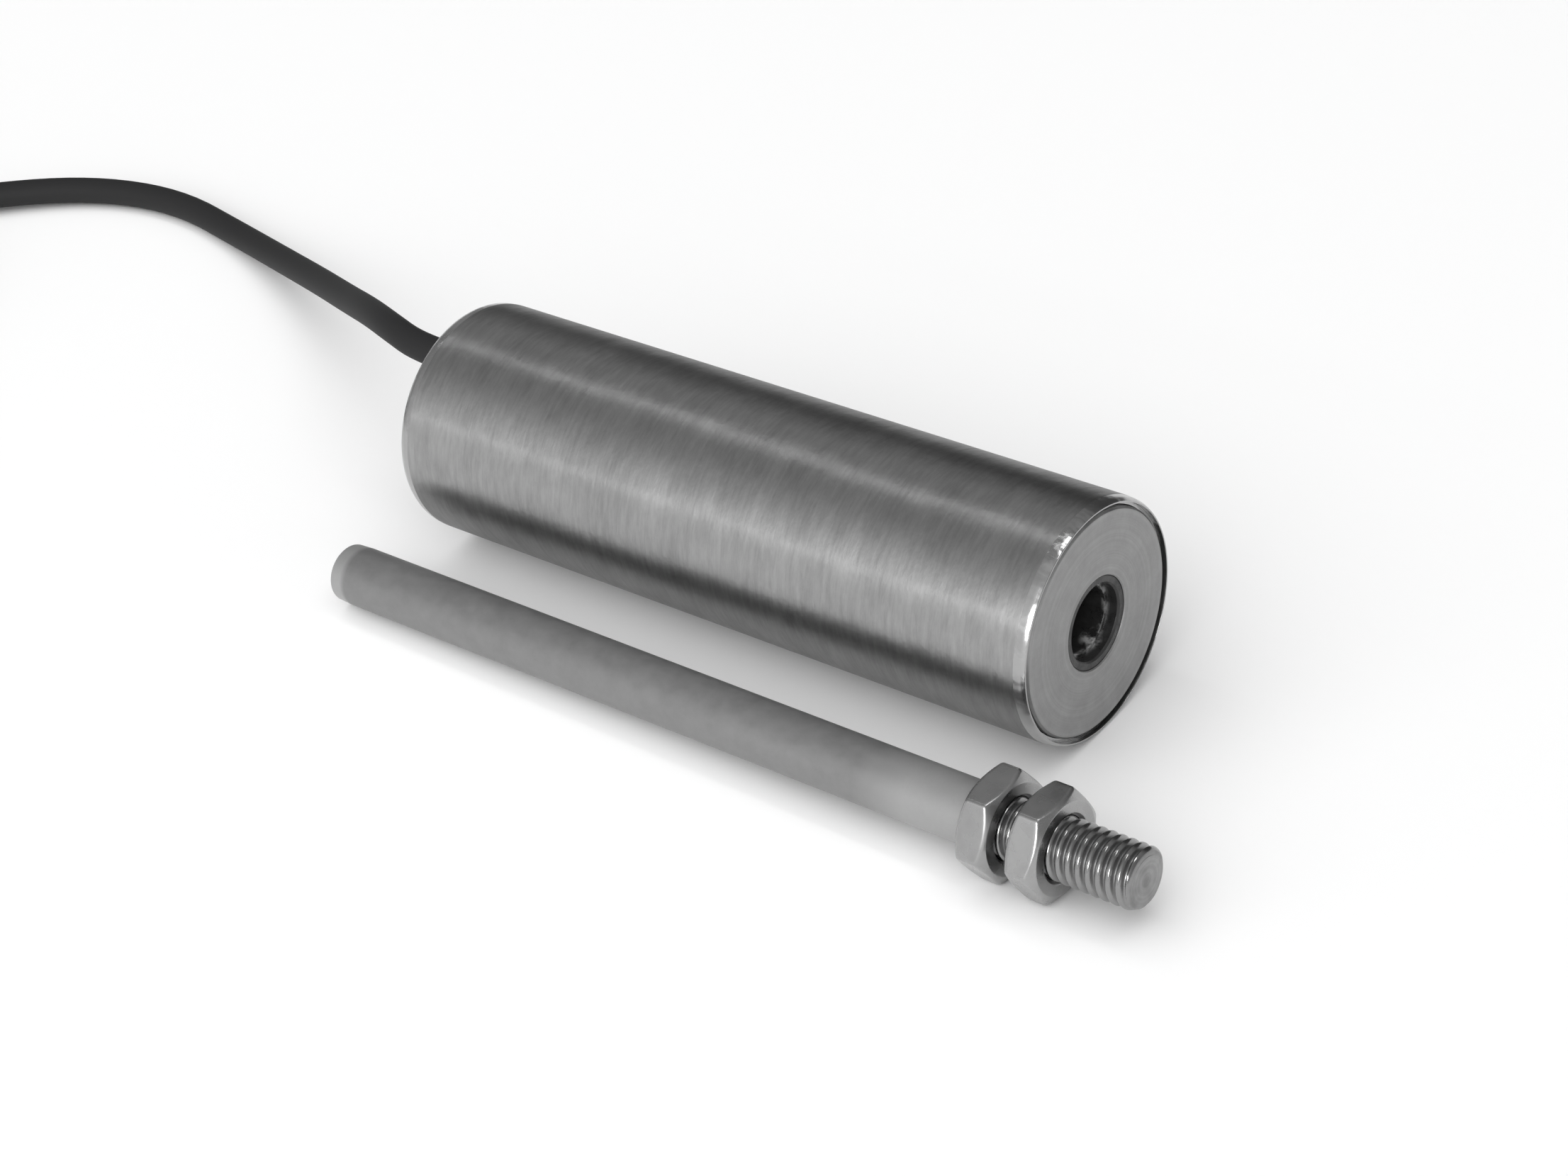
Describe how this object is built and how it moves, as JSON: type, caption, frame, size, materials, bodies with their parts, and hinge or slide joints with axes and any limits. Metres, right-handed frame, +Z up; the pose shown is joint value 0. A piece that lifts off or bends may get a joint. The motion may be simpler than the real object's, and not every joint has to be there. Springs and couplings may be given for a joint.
{
  "type": "linear variable inductive transducer",
  "caption": "Round steel position transducer with a blind axial bore and a cable out of its back, and a separate core rod with a threaded stud and hexagon nuts.",
  "frame": {"origin": "on the housing's axis, halfway along the housing, which lies on its side on the floor at z = -15.875 mm", "axes": "+X out of the bore's mouth, +Z up; the core rod lies beside the housing on the -Y side"},
  "size_m": [0.3046, 0.1034, 0.0318],
  "materials": {
    "housing_steel": "stainless steel, brushed around the axis",
    "liner_plastic": "dark glossy plastic",
    "seal_rubber": "moulded black rubber",
    "former_plastic": "moulded glass-filled plastic",
    "winding_copper": "enamelled copper wire",
    "shield_metal": "thin rolled nickel-iron sheet",
    "board_laminate": "green solder resist on laminate",
    "chip_plastic": "black moulded package",
    "component_ceramic": "ceramic",
    "wire_insulation": "smooth extruded insulation",
    "clamp_metal": "plain crimped brass",
    "cable_jacket": "smooth matt jacket",
    "tie_plastic": "smooth moulded nylon",
    "rod_metal": "matt ground grey metal",
    "stud_steel": "polished stainless steel",
    "lead_tin": "tinned copper strands"
  },
  "bodies": {
    "housing": {"housing_tube": "housing_steel", "front_end_disc": "housing_steel", "rear_end_disc": "housing_steel", "bore_liner": "liner_plastic", "bore_end_cap": "liner_plastic", "liner_seal_ring": "seal_rubber", "coil_former": "former_plastic", "rear_winding": "winding_copper", "front_winding": "winding_copper", "shield_sleeve": "shield_metal", "front_carrier": "former_plastic", "rear_carrier": "former_plastic", "circuit_board": "board_laminate", "signal_chip": "chip_plastic", "voltage_regulator": "chip_plastic", "board_capacitors": "component_ceramic", "board_resistors": "component_ceramic", "cable_grommet": "seal_rubber", "cable_entry": "cable_jacket", "cable_clamp": "clamp_metal", "supply_wires": "wire_insulation", "coil_leads": "winding_copper", "cable": "cable_jacket", "cable_tail": "cable_jacket", "cable_coil": "cable_jacket", "cable_tie": "tie_plastic", "lead_wires": "wire_insulation", "lead_tips": "lead_tin"},
    "core": {"core_rod": "rod_metal", "threaded_stud": "stud_steel", "inner_nut": "stud_steel", "outer_nut": "stud_steel"}
  },
  "joints": [
    {"name": "core_slide", "type": "slide", "parent": "housing", "child": "core", "axis": [1, 0, 0], "range_m": [0, 0.05]}
  ]
}
